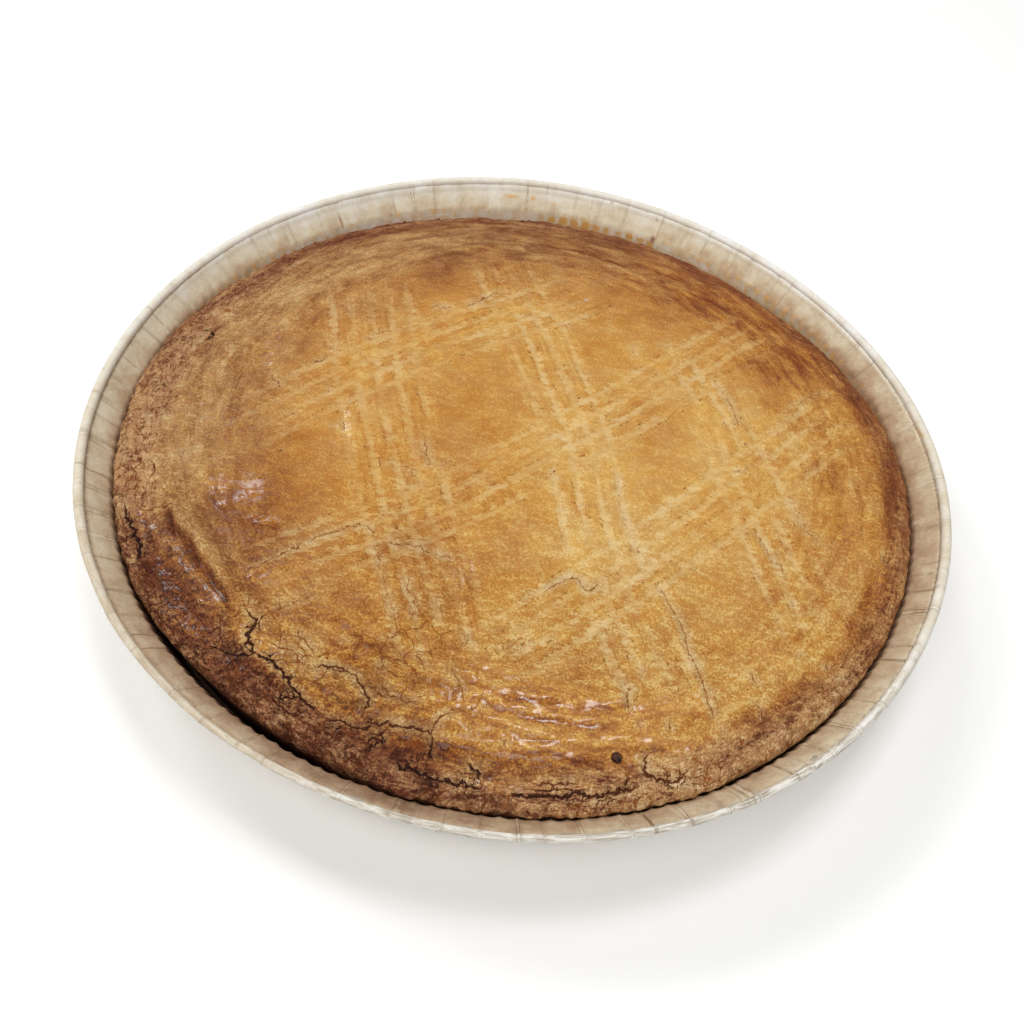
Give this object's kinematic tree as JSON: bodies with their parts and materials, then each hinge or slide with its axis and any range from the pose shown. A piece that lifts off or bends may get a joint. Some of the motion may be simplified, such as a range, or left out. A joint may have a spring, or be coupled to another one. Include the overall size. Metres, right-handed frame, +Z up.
{
  "type": "basque cake",
  "caption": "Round flat basque cake with a domed golden crust scored by a fork, in its fluted paper case.",
  "frame": {"origin": "centre of the paper case's flat underside", "axes": "+Z up, out of the crust; -Y is the near side as displayed, +X to its right"},
  "size_m": [0.2289, 0.2295, 0.031],
  "materials": {
    "baked_crust": "egg-washed baked shortcrust, satin",
    "case_paper": "greaseproof baking paper, matt"
  },
  "bodies": {
    "root": {"cake": "baked_crust", "paper_case": "case_paper"}
  },
  "joints": []
}
